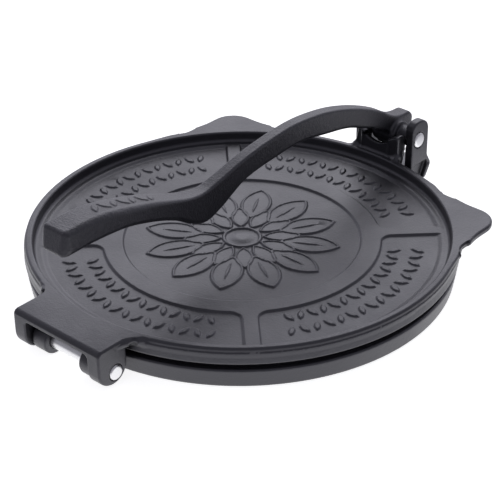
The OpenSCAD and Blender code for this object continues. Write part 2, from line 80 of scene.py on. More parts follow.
# Hinge: pin, lugs of the base, and the top plate's tab and cheeks
HINGE_Y, HINGE_Z, HINGE_PIN_R = -108.4, 6.8, 3.7
LUG_R, LUG_IN, LUG_T, LUG_TOP, LUG_STEP_Y, LUG_ROOT_Y = 6.7, 10.0, 8.6, 11.4, -98.8, -90
CHEEK_IN, CHEEK_X, CHEEK_R, CHEEK_Y, CHEEK_Z = 19.1, 26.3, 8.2, -109.9, 9.4
TAB_Y, TAB_IN_Y, TAB_SOFT_Y = -118.1, -60, -95
TAB_T, TAB_ROUND, TAB_CORNER = 3.8, 2.5, 1.8
# The lug and cheek with a negative X lie this much further out than the other two
FAR_SIDE = 0.9
# Lever pin, and the ears and bracket of the base that carry it
LEVER_Y, LEVER_Z, LEVER_PIN_R = 113.0, 28.5, 4.0
EAR_IN, EAR_OUT, EAR_FRONT, EAR_BACK = 13.3, 18.2, 107.4, 120.8
EAR_TOP, EAR_DROP, EAR_FRONT_R, EAR_BACK_R, EAR_FOOT_Z = 38.7, 4.4, 4.6, 6.2, 17.5
SHELF_X, SHELF_Y, SHELF_Z, SHELF_LEAN, SHELF_FOOT = 18.7, 124.3, 12.4, 4.6, 5.1
SHELF_ROOT_X, SHELF_ROOT_Y, WELL_R = 33, 80, 103.2
POCKET_X, POCKET_TOP, POCKET_WALL = 16.4, 14.8, 2.8
# Saddle of the top plate: two horns over a web with a round notch
SADDLE_X, SADDLE_Y, SADDLE_LOW = 13.4, 100.6, 13.2
HORN_IN, HORN_D, HORN_Z, HORN_RISE, WEB_T = 7.8, 7.2, 32.6, 12, 3.0
HORN_OUT, HORN_LEAN, HORN_TURN = 0.5, 0.2, 0.17
NOTCH_R, NOTCH_LOW = 20.0, 28.5
# Lever: grip, dip, arch, neck, and the nub over its pin
REACH, GRIP_Z, GRIP_LOW, GRIP_W, GRIP_TAPER = 229.4, 69.8, 57.8, 17.6, 0.14
GRIP_FROM, GRIP_OVER = 150, 40
DIP_Z, DIP_T, ARCH_Z, NECK_T, NECK_W = 51.7, 15.4, 61.8, 11.8, 6.6
NUB_W, NUB_REACH, NUB_TAPER = 8.4, 15.4, 3.4
NECK_END = LEVER_Z + 16
# End of the grip: its lean, what it stands past the reach, and its corners' chamfer
END_LEAN, END_OUT, CHAMFER_LOW, CHAMFER_TAPER = 2.4, 0.6, 4.0, 3.0
# Round the lever's pin: boss, the heel behind and under it, and the sleeves beside it
BOSS_W, BOSS_R, HEEL_R, HEEL_W, HEEL_FORE = 14.4, 6.5, 8.4, 14.0, 2
SLEEVE_R, SIDE_GAP = 4.8, 0.3
# Pins: gap in their bores, what stands out at each end, and the finish of the ends
BORE_GAP, PIN_PROUD, PIN_FIT, PIN_END, PIN_TURNS = 0.16, 0.7, 0.015, 2.4, 96
# Share of the radius, and depth below the end, from the middle of a pin's end to its side
PIN_DOME = [
    (0.0, 0.0), (0.4, 0.02), (0.65, 0.07), (0.78, 0.16),
    (0.88, 0.34), (0.95, 0.62), (0.987, 0.95), (1, 1.4),
]

# Raised marks: the width of the soft step round them
MARK_STEP = 0.9
# Flower: middle radius, length and width of its leaves, half widths of lines, and heights
PETALS, FLOWER_END_R = 12, 50
PETAL, VEIN, INNER_PETAL = (32.5, 27.0, 13.4), (31.0, 15.0, 1.5), (18.8, 17.0, 7.6)
PETAL_LINE, INNER_LINE, BUTTON_LINE, BUTTON_LINE_R = 0.62, 0.55, 0.7, 8.6
PETAL_H, PETAL_STEP, LINE_H = 0.32, 1.0, 0.78
BUTTON_H, BUTTON_R, BUTTON_STEP = 0.75, 4.6, 5.0
# Rows of slanting leaves. On a panel each row has its radius, leaves each way and pitch
PANEL_ROWS, PANEL_ROWS_FROM_R = ((71.6, 7, 5.6), (82.4, 8, 5.9)), 66
PANEL_LEAF, PANEL_LEAF_LEAN, PANEL_LEAF_H = (6.4, 2.5), 0.42, 0.72
GRIP_LEAVES, GRIP_ROW_T, GRIP_PITCH = 7, 188.0, 5.4
GRIP_LEAF, GRIP_LEAF_LEAN, GRIP_LEAF_H = (7.0, 2.6), 0.5, 0.5

# The frame's origin lies at this Y, counted from the plates' centre
joint_at = {joint["name"]: joint["pos_m"] for joint in frame["record"]["behaviour"]["joints"]}
MID_Y = HINGE_Y - joint_at["lid_hinge"][1] / MM

# Remesh size in millimetres and most triangles of each casting
VOXEL = {"base_plate": 0.8, "top_plate": 0.48, "lever": 0.45}
FACES = {"base_plate": 150000, "top_plate": 198000, "lever": 120000}
# Rounds of drawing points onto a shape, most that a point moves in one, as a share of the
# remesh size, how evenly they spread, and the last move in millimetres
ROUNDS, ROUND_STEP, SPREAD, LAST_STEP = 8, 0.9, 0.6, 0.2
TINY = 1e-9
# Grid sizes for outlines that are kept as distances
FINE_GRID, GRID, LEVER_GRID = 0.1, 0.15, 0.25


# Distance functions
def union(a, b, r=0.0):
    """Both solids, with a fillet of radius r between them"""
    fill = np.hypot(np.maximum(r - a, 0), np.maximum(r - b, 0))
    return np.maximum(r, np.minimum(a, b)) - fill


def common(a, b, r=0.0):
    """What two solids share, with its new edge rounded to radius r"""
    edge = np.hypot(np.maximum(r + a, 0), np.maximum(r + b, 0))
    return np.minimum(-r, np.maximum(a, b)) + edge


def cut(a, b, r=0.0):
    """Solid a without b, with the new edge rounded to radius r"""
    return common(a, -b, r)


def box2(u, v, half_u, half_v, r):
    """Rectangle with corners of radius r"""
    qu, qv = np.abs(u) - (half_u - r), np.abs(v) - (half_v - r)
    return np.hypot(np.maximum(qu, 0), np.maximum(qv, 0)) + np.minimum(np.maximum(qu, qv), 0) - r


def span(v, low, high):
    """Slab from low to high"""
    return np.abs(v - (low + high) / 2) - (high - low) / 2


def fade(v, start, width):
    """0 up to start, then rising to 1 over this width"""
    return np.clip((v - start) / width, 0, 1)


def ramp(d, width):
    """0 outside an outline and 1 inside it, with a soft step of this width on the line"""
    t = np.clip(0.5 - d / width, 0, 1)
    return t * t * (3 - 2 * t)


def rounded(corners, step=10):
    """Closed outline through (x, y, radius) corners, with an arc at each"""
    out = []
    n = len(corners)
    for i, (x, y, r) in enumerate(corners):
        p = np.array([x, y], float)
        if r <= 0:
            out.append(p)
            continue
        a = np.array(corners[i - 1][:2], float) - p
        b = np.array(corners[(i + 1) % n][:2], float) - p
        a, b = a / np.linalg.norm(a), b / np.linalg.norm(b)
        half = math.acos(np.clip(a @ b, -1, 1)) / 2
        mid = (a + b) / np.linalg.norm(a + b)
        centre = p + mid * r / math.sin(half)
        start, end = p + a * r / math.tan(half) - centre, p + b * r / math.tan(half) - centre
        turn = math.atan2(start[0] * end[1] - start[1] * end[0], start @ end)
        count = max(2, math.ceil(abs(math.degrees(turn)) / step))
        for k in range(count + 1):
            c, s = math.cos(turn * k / count), math.sin(turn * k / count)
            out.append(centre + [start[0] * c - start[1] * s, start[0] * s + start[1] * c])
    return np.array(out)


def outline_distance(x, y, pts):
    """Signed distance to a closed outline, below zero inside"""
    near = np.full(x.shape, 1e9)
    inside = np.zeros(x.shape, bool)
    for a, b in zip(pts, np.roll(pts, -1, 0)):
        e = b - a
        if e @ e < 1e-12:
            continue
        wx, wy = x - a[0], y - a[1]
        t = np.clip((wx * e[0] + wy * e[1]) / (e @ e), 0, 1)
        near = np.minimum(near, (wx - e[0] * t) ** 2 + (wy - e[1] * t) ** 2)
        if a[1] != b[1]:
            cross = (a[1] <= y) != (b[1] <= y)
            inside ^= cross & (wx < wy * e[0] / e[1])
    near = np.sqrt(near)
    return np.where(inside, -near, near)


class Field:
    """Distances to an outline kept on a grid and read back through cubic curves"""

    def __init__(self, corners, low, high, step):
        self.low, self.step = np.array(low, float), step
        self.size = [int(round((h - l) / step)) + 1 for l, h in zip(low, high)]
        axes = [l + step * np.arange(n) for l, n in zip(low, self.size)]
        u, v = np.meshgrid(*axes, indexing="ij")
        self.grid = outline_distance(u, v, rounded(corners)).ravel()

    def weights(self, p, axis):
        """Grid place just below a point, and the cubic weights of the four places round it"""
        g = np.clip((p - self.low[axis]) / self.step, 1.001, self.size[axis] - 2.001)
        i = g.astype(int)
        t = g - i
        t2, t3 = t * t, t * t * t
        return i, (
            (-t3 + 2 * t2 - t) / 2,
            (3 * t3 - 5 * t2 + 2) / 2,
            (-3 * t3 + 4 * t2 + t) / 2,
            (t3 - t2) / 2,
        )

    def __call__(self, u, v):
        i, wu = self.weights(u, 0)
        j, wv = self.weights(v, 1)
        out = 0.0
        for a in range(4):
            row = (i + a - 1) * self.size[1] + j - 1
            out = out + wu[a] * sum(wv[b] * self.grid[row + b] for b in range(4))
        return out


# Raised marks
def leaf(u, v, length, width):
    """Pointed leaf along u, centred on the origin"""
    half, side = length / 2, width / 2
    bow = (half * half - side * side) / (2 * side)
    au, av = np.abs(u), np.abs(v)
    arc = np.hypot(au, av + bow) - (bow + side)
    tip = np.hypot(au - half, av)
    return np.where((au - half) * bow > av * half, tip, arc)


def slanted(u, v, k, lean, size):
    """Leaf number k of a row, turned from u by the lean, one way and the other by turns"""
    lean = np.where(np.mod(k, 2) > 0, lean, -lean)
    c, s = np.cos(lean), np.sin(lean)
    return leaf(u * c + v * s, v * c - u * s, *size)


def folded(x, y, count, turn=0.0):
    """Point in the middle sector of a pattern with this many copies round the centre"""
    a = np.arctan2(y, x) - turn
    pitch = 2 * math.pi / count
    a = a - pitch * np.round(a / pitch)
    r = np.hypot(x, y)
    return r * np.cos(a), r * np.sin(a)


def rosette(x, y):
    """Height of the flower in the middle of the top plate"""
    r = np.hypot(x, y)
    u, v = folded(x, y, PETALS)
    outer, vein = leaf(u - PETAL[0], v, *PETAL[1:]), leaf(u - VEIN[0], v, *VEIN[1:])
    u, v = folded(x, y, PETALS, math.pi / PETALS)
    inner = leaf(u - INNER_PETAL[0], v, *INNER_PETAL[1:])
    lines = np.minimum(np.abs(outer) - PETAL_LINE, np.abs(inner) - INNER_LINE)
    lines = np.minimum(lines, np.abs(r - BUTTON_LINE_R) - BUTTON_LINE)
    lines = LINE_H * ramp(np.minimum(lines, vein), MARK_STEP)
    body = PETAL_H * ramp(np.minimum(outer, inner), PETAL_STEP)
    button = BUTTON_H * ramp(r - BUTTON_R, BUTTON_STEP)
    return np.maximum(np.maximum(body, lines), button)


def panel_marks(u, v, r):
    """Height of the two rows of leaves on a panel. u runs outward along its middle"""
    a = np.arctan2(v, u)
    high = np.zeros(r.shape)
    for row_r, count, pitch in PANEL_ROWS:
        along = a * row_r
        k = np.clip(np.round(along / pitch), -count, count)
        d = slanted(r - row_r, along - k * pitch, k, PANEL_LEAF_LEAN, PANEL_LEAF)
        high = np.maximum(high, PANEL_LEAF_H * ramp(d, MARK_STEP))
    return high


def grip_marks(x, t):
    """Height of the row of leaves on top of the grip"""
    k = np.round((t - GRIP_ROW_T) / GRIP_PITCH)
    k = np.clip(k, -GRIP_LEAVES // 2 + 1, GRIP_LEAVES // 2)
    d = slanted(x, t - GRIP_ROW_T - k * GRIP_PITCH, k, GRIP_LEAF_LEAN, GRIP_LEAF)
    return GRIP_LEAF_H * ramp(d, MARK_STEP)


def top_height(x, y, r):
    """Height of the top plate's upper face inside the rim"""
    ax, ay = np.abs(x), np.abs(y)
    spoke = SPOKE_W / 2 - (np.maximum(ax, ay) - np.minimum(ax, ay)) / math.sqrt(2)
    panel = common(spoke, RING_OUT_R + STEP_OUT - r, PANEL_CORNER)
    outer = r - (LEDGE_IN_R - SLOPE_W / 2)
    middle = r - CENTRE_R + STEP_OUT
    sunk = ramp(panel, STEP_W) * ramp(outer, SLOPE_W) + ramp(middle, STEP_W)
    marks = np.where(r < FLOWER_END_R, rosette(x, y), 0.0)
    way = np.where(ax > ay, np.sign(x), np.sign(y))
    across = np.where(ax > ay, y, -x) * way
    rows = panel_marks(np.maximum(ax, ay), across, r)
    marks = marks + np.where(r > PANEL_ROWS_FROM_R, rows, 0.0)
    return RELIEF_Z - (RELIEF_Z - PANEL_Z) * sunk + marks


# Castings
top_profile = Field(
    [
        (-5, FACE_Z, 0), (PRESS_R, FACE_Z, 0.7),
        (PRESS_R + 0.3, RIM_LOW_Z, 0.7), (TOP_R, RIM_LOW_Z, 1.1),
        (RIM_TOP_R, RIM_TOP_Z, 1.2), (RIM_IN_R, RIM_TOP_Z, 1.0),
        (WALL_IN_R, RELIEF_Z, 1.8), (-5, RELIEF_Z, 0),
    ],
    (-4, 6), (107, 26), FINE_GRID,
)
cheek_side = Field(
    [
        (TAB_Y, RIM_TOP_Z, TAB_ROUND), (TAB_Y, CHEEK_Z - CHEEK_R, CHEEK_R - 0.02),
        (CHEEK_Y + CHEEK_R, CHEEK_Z - CHEEK_R, CHEEK_R - 0.02),
        (CHEEK_Y + CHEEK_R, RIM_TOP_Z, 0),
    ],
    (TAB_Y - 6, -5), (CHEEK_Y + CHEEK_R + 6, RIM_TOP_Z + 6), GRID,
)
horn_side = Field(
    [
        (SADDLE_Y, SADDLE_LOW, 0), (SADDLE_Y + HORN_D - 2.4, SADDLE_LOW, 0.8),
        (SADDLE_Y + HORN_D + 1.9, HORN_Z - 9.0, 4.0), (SADDLE_Y + HORN_D - 0.5, HORN_Z, 4.4),
        (SADDLE_Y, HORN_Z, 1.6),
    ],
    (SADDLE_Y - 6, 6), (SADDLE_Y + HORN_D + 6, HORN_Z + 6), GRID,
)


def top_shape(x, y, z):
    """Top plate with its tray, wings, tab, cheeks and saddle"""
    r, ax = np.hypot(x, y), np.abs(x)
    body = top_profile(r, z)
    # The marks' flanks are steep, so the height over them is counted as less
    face = (z - top_height(x, y, r)) * 0.75
    body = np.where(r < LEDGE_IN_R + 0.8, np.maximum(body, face), body)
    # Wings and tab, in one plan with the rim
    wing_mid, wing_half = (WING_Y + WING_IN_Y) / 2, (WING_Y - WING_IN_Y) / 2
    wings = box2(x, y - wing_mid, WING_X, wing_half, WING_CORNER)
    tab_mid, tab_half = (TAB_Y + TAB_IN_Y) / 2, (TAB_IN_Y - TAB_Y) / 2
    tab = box2(x + FAR_SIDE / 2, y - tab_mid, CHEEK_X + FAR_SIDE / 2, tab_half, TAB_CORNER)
    plan = union(union(r - RIM_TOP_R, wings, ROOT_R), tab, ROOT_R)
    thick = np.where(y > 0, WING_T, TAB_T)
    upper = np.clip((z - RIM_TOP_Z + 2.6) / 1.2, 0, 1)
    soft = SLAB_EDGE + (TAB_ROUND - SLAB_EDGE) * upper * np.clip(TAB_SOFT_Y - y, 0, 1)
    slab = common(plan, np.abs(z - RIM_TOP_Z + thick / 2) - thick / 2, soft)
    slab = np.maximum(slab, RIM_IN_R + 1.5 - r)
    fillet = 1.6 * np.clip((RIM_TOP_Z - 1.6 - z) / 0.8, 0, 1)
    body = union(body, slab, fillet)
    # Cheeks: one block with a slot for the lugs
    side_x = np.where(x < 0, ax - FAR_SIDE, ax)
    block = common(cheek_side(y, z), side_x - CHEEK_X, SLAB_EDGE)
    slot = box2(side_x, z, CHEEK_IN, RIM_TOP_Z - TAB_T, 2.0)
    block = cut(block, slot, 0.7)
    body = np.minimum(body, block)
    # Saddle. The far horn leans in, and both turn in towards the lever's pin
    lean = -HORN_LEAN * np.clip(z - RIM_TOP_Z, 0, HORN_RISE)
    horn_out = SADDLE_X + np.where(x < 0, lean, HORN_OUT)
    horn_out = horn_out - HORN_TURN * np.clip(y - SADDLE_Y - 1.5, 0, 8)
    horn = common(horn_side(y, z), np.maximum(ax - horn_out, HORN_IN - ax), 0.9)
    web = np.maximum(span(y, SADDLE_Y, SADDLE_Y + WEB_T), ax - HORN_IN - 0.5)
    web = np.maximum(web, span(z, SADDLE_LOW, HORN_Z - 2))
    notch = np.hypot(x, z - NOTCH_LOW - NOTCH_R) - NOTCH_R
    nose = cut(union(horn, web, 1.2), notch, 1.0)
    root = common(span(y, 93, SADDLE_Y + WEB_T), ax - SADDLE_X, 1.0)
    root = np.maximum(root, span(z, SADDLE_LOW, RIM_TOP_Z))
    root = np.maximum(root, RIM_IN_R + 0.8 - r)
    body = np.minimum(body, root)
    # The saddle's fillet on the rim is wider at both ends, and fades out below the rim's top
    fillet = (1.6 + 2.4 * fade(ax, 10, 3)) * np.clip(z - RIM_TOP_Z + 2.0, 0, 1)
    nose = np.maximum(nose, RIM_IN_R + 0.9 - r)
    body = union(body, nose, fillet)
    bore = np.hypot(y - HINGE_Y, z - HINGE_Z) - HINGE_PIN_R - BORE_GAP
    return cut(body, bore, 0.45)


base_profile = Field(
    [
        (-5, UNDER_Z, 0), (BASE_R - FOOT_W - 1, UNDER_Z, 1.2),
        (BASE_R - FOOT_W, 0, 0.8), (BASE_R, 0, 1.4),
        (BASE_TOP_R, BASE_H, 1.2), (PRESS_R + 1, BASE_H, 0.6),
        (PRESS_R, PRESS_Z, 0.6), (-5, PRESS_Z, 0),
    ],
    (-4, -5), (107, 16), FINE_GRID,
)
bracket_plan = Field(
    [
        (-6, SHELF_ROOT_Y, 0), (SHELF_ROOT_X, SHELF_ROOT_Y, 0), (SHELF_ROOT_X, 86, 3),
        (SHELF_X, WELL_R + 4, 7), (SHELF_X, SHELF_Y, 2.4), (-6, SHELF_Y, 0),
    ],
    (-5, 76), (44, 132), GRID,
)
bracket_side = Field(
    [
        (SHELF_ROOT_Y, UNDER_Z, 0), (98, 1.2, 4), (SHELF_Y - SHELF_LEAN, SHELF_FOOT, 1.6),
        (SHELF_Y, SHELF_Z, 1.0), (SHELF_ROOT_Y, SHELF_Z, 0),
    ],
    (76, -5), (131, 18), GRID,
)
pocket_side = Field(
    [
        (EAR_FRONT + POCKET_WALL / 2, -9, 0), (SHELF_Y - SHELF_LEAN - POCKET_WALL, -9, 0),
        (SHELF_Y - SHELF_LEAN - POCKET_WALL, SHELF_FOOT, 2),
        (SHELF_Y - POCKET_WALL, POCKET_TOP, 1.2),
        (EAR_FRONT + POCKET_WALL / 2, POCKET_TOP, 1.2),
    ],
    (100, -6), (130, 20), GRID,
)


def ear_side(top):
    """Side outline of one ear, with this height of its top"""
    return Field(
        [
            (EAR_FRONT, SHELF_Z - 2, 0), (SHELF_Y - 0.4, SHELF_Z - 2, 0),
            (SHELF_Y - 0.4, SHELF_Z, 0.8), (EAR_BACK, EAR_FOOT_Z, 3.0),
            (EAR_BACK, top, EAR_BACK_R), (EAR_FRONT, top, EAR_FRONT_R),
        ],
        (EAR_FRONT - 6, SHELF_Z - 6), (SHELF_Y + 6, EAR_TOP + 6), GRID,
    )


near_ear, far_ear = ear_side(EAR_TOP), ear_side(EAR_TOP - EAR_DROP)


def base_shape(x, y, z):
    """Base plate with its ring, ribs, bracket, ears and lugs"""
    r, ax = np.hypot(x, y), np.abs(x)
    body = base_profile(r, z)
    ring = box2(r - RING_R, z - RIB_MID_Z, RIB_T / 2, RIB_HALF_H, 0.8)
    u, v = folded(x, y, RIBS, math.pi / RIBS)
    rib = box2(v, z - RIB_MID_Z, RIB_T / 2, RIB_HALF_H, 0.8)
    rib = np.maximum(rib, span(u, RING_R, BASE_R - FOOT_W + 1))
    body = union(body, np.minimum(ring, rib), np.where(z < 8, 1.0, 0.0))
    # Bracket and ears, hollowed where the top plate comes down
    shelf = common(bracket_plan(ax, y), bracket_side(y, z), 1.0)
    side = np.where(x > 0, near_ear(y, z), far_ear(y, z))
    ear = common(side, span(ax, EAR_IN, EAR_OUT), 0.8)
    shelf = union(shelf, ear, np.where(ax > (EAR_IN + EAR_OUT) / 2, 0.5, 1.2))
    shelf = cut(shelf, common(pocket_side(y, z), POCKET_X - ax, 0.8), 0.6)
    well = common(r - WELL_R, BASE_H - 1 - z, 1.0)
    shelf = cut(shelf, well, 0.8)
    body = union(body, shelf, np.where(z < BASE_H - 1.2, 1.4, 0.0))
    # Hinge lugs
    nose = np.hypot(y - HINGE_Y, z - HINGE_Z) - LUG_R
    high = np.where(y < LUG_STEP_Y, LUG_TOP, BASE_H - 0.5)
    arm = np.maximum(span(y, HINGE_Y, LUG_ROOT_Y), span(z, HINGE_Z - LUG_R, high))
    side_x = np.where(x < 0, ax - FAR_SIDE, ax)
    lug = common(np.minimum(nose, arm), span(side_x, LUG_IN, LUG_IN + LUG_T), 0.9)
    body = union(body, lug, np.where(z < BASE_H - 1.0, 1.0, 0.0))
    holes = ((HINGE_Y, HINGE_Z, HINGE_PIN_R), (LEVER_Y, LEVER_Z, LEVER_PIN_R))
    for hole_y, hole_z, hole_r in holes:
        body = cut(body, np.hypot(y - hole_y, z - hole_z) - hole_r - BORE_GAP, 0.4)
    return body


# Rows along the lever: distance before its pin, top, underside and width
LEVER_ROWS = [
    (REACH - 8, GRIP_Z, GRIP_LOW + 0.4, GRIP_W),
    (0.935 * REACH, GRIP_Z + 0.1, GRIP_LOW + 0.6, GRIP_W),
    (0.885 * REACH, GRIP_Z - 0.8, GRIP_LOW + 0.2, GRIP_W),
    (0.83 * REACH, GRIP_Z - 3.6, GRIP_LOW - 1.4, GRIP_W - 0.6),
    (0.76 * REACH, (GRIP_Z + DIP_Z) / 2 + 0.9, GRIP_LOW - 6.2, GRIP_W - 3),
    (0.7 * REACH, DIP_Z + 5, DIP_Z - DIP_T + 9.4, GRIP_W - 6),
    (0.655 * REACH, DIP_Z + 1.6, DIP_Z - DIP_T + 3.2, NECK_W + 3),
    (0.61 * REACH, DIP_Z + 0.2, DIP_Z - DIP_T - 0.8, NECK_W + 0.8),
    (0.562 * REACH, DIP_Z + 2.4, DIP_Z - DIP_T + 2.2, NECK_W + 0.2),
    (0.49 * REACH, DIP_Z + 6.4, ARCH_Z - NECK_T - 3.8, NECK_W),
    (0.395 * REACH, ARCH_Z - 0.6, ARCH_Z - NECK_T - 0.7, NECK_W),
    (0.32 * REACH, ARCH_Z, ARCH_Z - NECK_T + 0.2, NECK_W + 0.2),
    (0.236 * REACH, ARCH_Z - 2.3, ARCH_Z - NECK_T - 2.8, NECK_W + 0.4),
    (0.166 * REACH, ARCH_Z - 6.5, ARCH_Z - NECK_T - 5.8, NECK_W + 0.8),
    (0.105 * REACH, NECK_END + 5.6, NECK_END - 5.6, NUB_W - 0.6),
    (12.5, NECK_END + 0.1, LEVER_Z + 5.8, NUB_W),
    (6.0, NECK_END - 4, LEVER_Z + 1.6, NUB_W),
    (0.0, NECK_END - 6.9, LEVER_Z - 2, NUB_W),
    (-5.4, NECK_END - 8, LEVER_Z - 3.2, NUB_W),
]
# Corners of the nub's tip and of the grip's end, with their radii
NUB_TIP = [
    (-10.6, NECK_END - 8.2, 3.0),
    (-NUB_REACH - 0.4, LEVER_Z + 3.4, 3.4),
    (-12.0, LEVER_Z - 3, 3.0),
]
GRIP_END = [
    (REACH + END_OUT, GRIP_LOW + 0.3, 2.0),
    (REACH + END_OUT - END_LEAN, GRIP_Z - 0.1, 2.0),
]


def smooth_rows(rows, per=8):
    """Dense rows on the same smooth curve as the CAD lever's"""
    p = np.array([rows[0], *rows, rows[-1]], float)
    s = (np.arange(per) / per)[:, None]
    out = []
    for a, b, c, d in zip(p[:-3], p[1:-2], p[2:-1], p[3:]):
        square, cube = 2 * a - 5 * b + 4 * c - d, 3 * b - a - 3 * c + d
        out.append(0.5 * (2 * b + (c - a) * s + square * s**2 + cube * s**3))
    return np.vstack([*out, p[-1:]])


lever_curve = smooth_rows(LEVER_ROWS)
lever_side = Field(
    [(t, top, 0) for t, top, low, wide in lever_curve]
    + NUB_TIP
    + [(t, low, 0) for t, top, low, wide in lever_curve[::-1]]
    + GRIP_END,
    (-NUB_REACH - 4, LEVER_Z - 8), (REACH + 4, GRIP_Z + 5), LEVER_GRID,
)


def lever_shape(x, y, z):
    """Lever with its boss, heel and sleeves"""
    t, ax = LEVER_Y - y, np.abs(x)
    rows = lever_curve[::-1]
    top, low, wide = (np.interp(t, rows[:, 0], rows[:, c]) for c in (1, 2, 3))
    wide = wide - NUB_TAPER * fade(-t, 8, 7) ** 2
    grip = fade(t, GRIP_FROM, GRIP_OVER)
    half = wide / 2 * (1 - GRIP_TAPER * grip * (z - low) / (top - low))
    # Edges are rounder on the grip and along the underside
    under = np.clip(0.6 * (top + low) / 2 + 0.4 * low - z, 0, 1)
    edge = 1.2 + 1.4 * grip
    edge = edge + 1.3 * np.clip(t / 10 - 1, 0, 1) * under
    side = lever_side(t, z) - grip_marks(x, t) * np.where(z > (top + low) / 2, 1.0, 0.0)
    body = common(side, ax - half, edge)
    # Upright corners of the grip's end, with a chamfer that widens downward
    high = np.clip((z - GRIP_LOW) / (GRIP_Z - GRIP_LOW), 0, 1)
    corner = t - REACH - END_OUT + END_LEAN * high + ax - half + CHAMFER_LOW - CHAMFER_TAPER * high
    body = common(body, corner / math.sqrt(2), 1.0)
    pivot = np.hypot(y - LEVER_Y, z - LEVER_Z)
    boss = common(pivot - BOSS_R, ax - BOSS_W / 2, 1.0)
    heel = common(pivot - HEEL_R, np.maximum(LEVER_Y - HEEL_FORE - y, z - LEVER_Z), 1.5)
    heel = common(heel, ax - HEEL_W / 2, 1.2)
    sleeve = common(pivot - SLEEVE_R, ax - EAR_IN + SIDE_GAP, 0.3)
    body = union(union(union(body, heel, 1.5), boss, 1.5), sleeve, 0.8)
    return cut(body, pivot - LEVER_PIN_R - BORE_GAP, 0.2)


# From distance functions to meshes
PROBES = np.array([(1, -1, -1), (-1, -1, 1), (-1, 1, -1), (1, 1, 1)], float)


def measured(shape, pts, reach=0.04):
    """Distance and its slope at each point"""
    values = [shape(*(pts + k * reach).T) for k in PROBES]
    slope = sum(v[:, None] * k for v, k in zip(values, PROBES)) / (4 * reach)
    return sum(values) / 4, slope


def drawn(pts, shape, limit):
    """Points moved onto the shape, each by no more than the limit, and the normals there"""
    value, slope = measured(shape, pts)
    size = np.maximum((slope**2).sum(1), 1e-6)
    step = -(value / size)[:, None] * slope
    length = np.linalg.norm(step, axis=1)[:, None]
    pts = pts + step * np.minimum(1, limit / np.maximum(length, TINY))
    return pts, slope / np.sqrt(size)[:, None]


def settled(pts, edges, shape, rounds, limit):
    """Points drawn onto the shape and spread evenly over it"""
    count = np.bincount(edges.ravel(), minlength=len(pts))[:, None]
    for turn in range(rounds):
        pts, normal = drawn(pts, shape, limit)
        if turn < rounds - 2:
            mean = np.stack(
                [
                    np.bincount(edges[:, 0], pts[edges[:, 1], c], len(pts))
                    + np.bincount(edges[:, 1], pts[edges[:, 0], c], len(pts))
                    for c in range(3)
                ],
                1,
            ) / np.maximum(count, 1)
            drift = mean - pts
            pts = pts + SPREAD * (drift - normal * (drift * normal).sum(1)[:, None])
    return pts


def read_points(mesh):
    """The mesh's points in millimetres from the plates' centre"""
    co = np.zeros(len(mesh.vertices) * 3)
    mesh.vertices.foreach_get("co", co)
    return co.reshape(-1, 3) / MM + [0, MID_Y, 0]


def write_points(mesh, pts):
    mesh.vertices.foreach_set("co", ((pts - [0, MID_Y, 0]) * MM).ravel())
    mesh.update()


def triangle_count(mesh):
    return sum(len(p.vertices) - 2 for p in mesh.polygons)


def applied(obj, kind, **settings):
    """The object's mesh after one modifier"""
    mod = obj.modifiers.new(kind, kind)
    for key, value in settings.items():
        setattr(mod, key, value)
    deps = bpy.context.evaluated_depsgraph_get()
    mesh = bpy.data.meshes.new_from_object(obj.evaluated_get(deps))
    obj.modifiers.clear()
    old = obj.data
    obj.data = mesh
    if old.users == 0:
        bpy.data.meshes.remove(old)
    return mesh


def casting(node, name, shape, body):
    """A detailed casting that stands for one CAD node"""
    obj = bpy.data.objects.new(name, frame["nodes"][node].data.copy())
    scene.collection.objects.link(obj)
    applied(obj, "WELD", merge_threshold=1e-6)
    mesh = applied(obj, "REMESH", mode="VOXEL", voxel_size=VOXEL[node] * MM)
    edges = np.zeros(len(mesh.edges) * 2, np.int32)
    mesh.edges.foreach_get("vertices", edges)
    step = VOXEL[node] * ROUND_STEP
    write_points(mesh, settled(read_points(mesh), edges.reshape(-1, 2), shape, ROUNDS, step))
    triangles = triangle_count(mesh)
    if triangles > FACES[node]:
        share = FACES[node] / triangles
        mesh = applied(obj, "DECIMATE", ratio=share, use_collapse_triangulate=True)
    pts, _ = drawn(read_points(mesh), shape, LAST_STEP)
    box = [np.array(corner) / MM + [0, MID_Y, 0] for corner in (cad_low, cad_high)]
    pts = np.clip(pts, *box)
    write_points(mesh, pts)
    _, slope = measured(shape, pts)
    normal = slope / np.maximum(np.linalg.norm(slope, axis=1), TINY)[:, None]
    mesh.polygons.foreach_set("use_smooth", [True] * len(mesh.polygons))
    mesh.normals_split_custom_set_from_vertices(normal)
    print(name, "triangles", triangle_count(mesh))
    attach(obj, body)
    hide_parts(node)
    return obj


